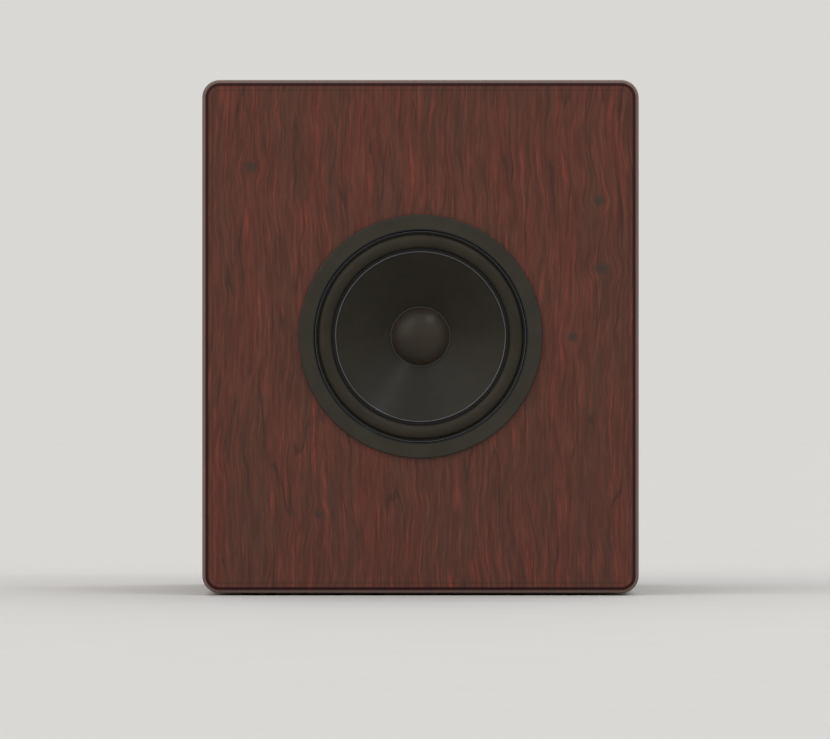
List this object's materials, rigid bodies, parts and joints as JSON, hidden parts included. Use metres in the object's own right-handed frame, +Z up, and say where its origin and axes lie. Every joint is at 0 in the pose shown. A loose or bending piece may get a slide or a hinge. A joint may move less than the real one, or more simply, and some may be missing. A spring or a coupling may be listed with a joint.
{
  "type": "subwoofer",
  "caption": "Powered bass loudspeaker: veneered rounded box with a front driver in a trim ring, a rear port and a rear plate amplifier with knobs, switches and mains inlet.",
  "frame": {"origin": "centre of the whole box, at floor level", "axes": "+Z up, the driver faces -Y, +X to the right seen from the front"},
  "size_m": [0.398, 0.4168, 0.47],
  "materials": {
    "veneer": "glossy lacquered red-brown veneer",
    "black_board": "matt black paint on board",
    "bare_board": "bare fibreboard",
    "foot_rubber": "matt",
    "moulded_black": "fine texture",
    "knob_black": "satin, fluted",
    "rocker_black": "gloss",
    "ring_satin": "satin charcoal",
    "foam": "closed-cell foam",
    "frame_paint": "black powder coat",
    "surround_rubber": "satin",
    "spider_cloth": "resin-stiffened cloth",
    "cone_poly": "glossy, finely turned",
    "cap_gloss": "glossy dome",
    "former_film": "amber film",
    "winding": "enamelled copper",
    "plated_steel": "zinc plated",
    "ferrite": "dull grey",
    "wire_red": "soft insulation",
    "wire_black": "soft insulation",
    "plate_black": "fine-textured black",
    "anodised_fins": "black anodised",
    "board_green": "solder-masked laminate",
    "transformer_winding": "taped winding",
    "capacitor_sleeve": "shrunk sleeve",
    "led_lens": "tinted lens",
    "fuse_glass": "clear"
  },
  "bodies": {
    "cabinet": {"front_baffle": "veneer", "top_panel": "veneer", "bottom_panel": "veneer", "left_side_panel": "veneer", "right_side_panel": "veneer", "rear_panel": "black_board", "window_brace": "bare_board", "foot_front_left": "foot_rubber", "foot_front_right": "foot_rubber", "foot_rear_left": "foot_rubber", "foot_rear_right": "foot_rubber", "port_tube": "moulded_black", "port_flare": "moulded_black", "trim_ring": "ring_satin", "driver_gasket": "foam", "basket": "frame_paint", "surround": "surround_rubber", "spider": "spider_cloth", "top_plate": "plated_steel", "magnet": "ferrite", "back_plate": "plated_steel", "driver_terminals": "moulded_black", "tinsel_lead_left": "winding", "tinsel_lead_right": "winding", "speaker_lead_red": "wire_red", "speaker_lead_black": "wire_black", "driver_screw_1": "plated_steel", "driver_screw_2": "plated_steel", "driver_screw_3": "plated_steel", "driver_screw_4": "plated_steel", "amp_plate": "plate_black", "amp_gasket": "foam", "heat_sink": "anodised_fins", "circuit_board": "board_green", "transformer": "transformer_winding", "capacitor_left": "capacitor_sleeve", "capacitor_right": "capacitor_sleeve", "volume_pot": "plated_steel", "crossover_pot": "plated_steel", "phase_switch_body": "plated_steel", "auto_switch_body": "plated_steel", "input_jacks": "moulded_black", "status_led": "led_lens", "mains_inlet": "moulded_black", "rocker_bezel": "moulded_black"},
    "cone_assembly": {"cone": "cone_poly", "dust_cap": "cap_gloss", "voice_coil_former": "former_film", "voice_coil": "winding"},
    "volume_control": {"volume_shaft": "plated_steel", "volume_knob": "knob_black"},
    "crossover_control": {"crossover_shaft": "plated_steel", "crossover_knob": "knob_black"},
    "phase_slider": {"phase_lever": "moulded_black"},
    "auto_slider": {"auto_lever": "moulded_black"},
    "power_switch": {"power_rocker": "rocker_black"},
    "fuse_carrier": {"fuse_drawer": "moulded_black", "mains_fuse": "fuse_glass"}
  },
  "joints": [
    {"name": "cone_stroke", "type": "slide", "parent": "cabinet", "child": "cone_assembly", "axis": [0, -1, 0], "range_m": [-0.006, 0.006], "stiffness_N_per_m": 2000, "deforming": ["surround", "spider", "tinsel_lead_left", "tinsel_lead_right"]},
    {"name": "volume_turn", "type": "hinge", "parent": "cabinet", "child": "volume_control", "pos_m": [0.06, 0.19037, 0.238], "axis": [0, -1, 0], "range_deg": [-150, 150]},
    {"name": "crossover_turn", "type": "hinge", "parent": "cabinet", "child": "crossover_control", "pos_m": [0.06, 0.19037, 0.196], "axis": [0, -1, 0], "range_deg": [-150, 150]},
    {"name": "phase_slide", "type": "slide", "parent": "cabinet", "child": "phase_slider", "axis": [1, 0, 0], "range_m": [0, 0.005]},
    {"name": "auto_slide", "type": "slide", "parent": "cabinet", "child": "auto_slider", "axis": [1, 0, 0], "range_m": [-0.003, 0.003]},
    {"name": "power_rock", "type": "hinge", "parent": "cabinet", "child": "power_switch", "pos_m": [-0.012, 0.18987, 0.074], "axis": [1, 0, 0], "range_deg": [0, 16]},
    {"name": "fuse_pull", "type": "slide", "parent": "cabinet", "child": "fuse_carrier", "axis": [0, 1, 0], "range_m": [0, 0.014]}
  ]
}
